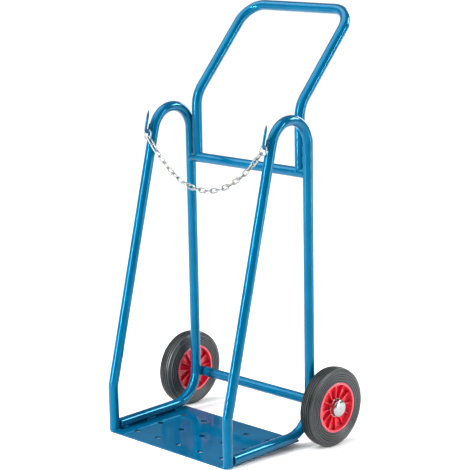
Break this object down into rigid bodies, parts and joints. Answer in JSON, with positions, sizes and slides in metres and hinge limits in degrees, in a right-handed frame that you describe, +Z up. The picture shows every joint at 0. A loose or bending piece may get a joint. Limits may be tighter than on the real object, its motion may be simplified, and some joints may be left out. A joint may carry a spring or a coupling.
{
  "type": "gas cylinder cart",
  "caption": "Two-wheeled blue tubular cart for a pair of gas cylinders, with a bent push handle, drilled base plate, ribbed rubber tyres on red rims and a retaining chain.",
  "frame": {"origin": "centre of the cart's bounding box footprint at floor level", "axes": "+X to the right of someone facing the cart's open front, +Y to the rear where the handle is, +Z up"},
  "size_m": [0.7074, 0.5925, 1.3497],
  "materials": {
    "blue_paint": "glossy stove enamel",
    "red_plastic": "glossy moulded plastic",
    "tyre_rubber": "satin solid rubber",
    "cap_steel": "bright plated dome",
    "zinc": "bright zinc plating",
    "axle_steel": "drawn bright steel",
    "bush_steel": "ground steel",
    "weld": "enamel over weld bead"
  },
  "bodies": {
    "cart": {"side_frame_left": "blue_paint", "axle_plug_left": "axle_steel", "inner_disc_left": "zinc", "outer_washer_left": "zinc", "split_pin_left": "zinc", "chain_hook_left": "blue_paint", "rail_welds_left": "weld", "leg_welds_left": "weld", "side_frame_right": "blue_paint", "axle_plug_right": "axle_steel", "inner_disc_right": "zinc", "outer_washer_right": "zinc", "split_pin_right": "zinc", "chain_hook_right": "blue_paint", "rail_welds_right": "weld", "leg_welds_right": "weld", "handle_tube": "blue_paint", "upper_crossbar": "blue_paint", "axle_tube": "blue_paint", "base_plate": "blue_paint", "axle_rod": "axle_steel", "crossbar_welds": "weld", "handle_welds": "weld", "axle_welds": "weld", "hook_welds": "weld"},
    "wheel_left": {"tyre_left": "tyre_rubber", "wheel_rim_left": "red_plastic", "wheel_bush_left": "bush_steel", "hub_cap_left": "cap_steel"},
    "wheel_right": {"tyre_right": "tyre_rubber", "wheel_rim_right": "red_plastic", "wheel_bush_right": "bush_steel", "hub_cap_right": "cap_steel"},
    "chain_rings": {"chain_ring_left": "zinc", "chain_ring_right": "zinc"},
    "chain": {"chain_links": "zinc"}
  },
  "joints": [
    {"name": "wheel_left_spin", "type": "hinge", "parent": "cart", "child": "wheel_left", "pos_m": [-0.3125, 0.11819, 0.125], "axis": [1, 0, 0], "continuous": true},
    {"name": "wheel_right_spin", "type": "hinge", "parent": "cart", "child": "wheel_right", "pos_m": [0.3125, 0.11819, 0.125], "axis": [1, 0, 0], "continuous": true},
    {"name": "chain_lift", "type": "slide", "parent": "cart", "child": "chain_rings", "axis": [0, 0.2072, 0.9783], "range_m": [0, 0.012]},
    {"name": "chain_swing", "type": "hinge", "parent": "chain_rings", "child": "chain", "pos_m": [0, -0.14388, 0.9267], "axis": [1, 0, 0], "range_deg": [-40, 20]}
  ]
}
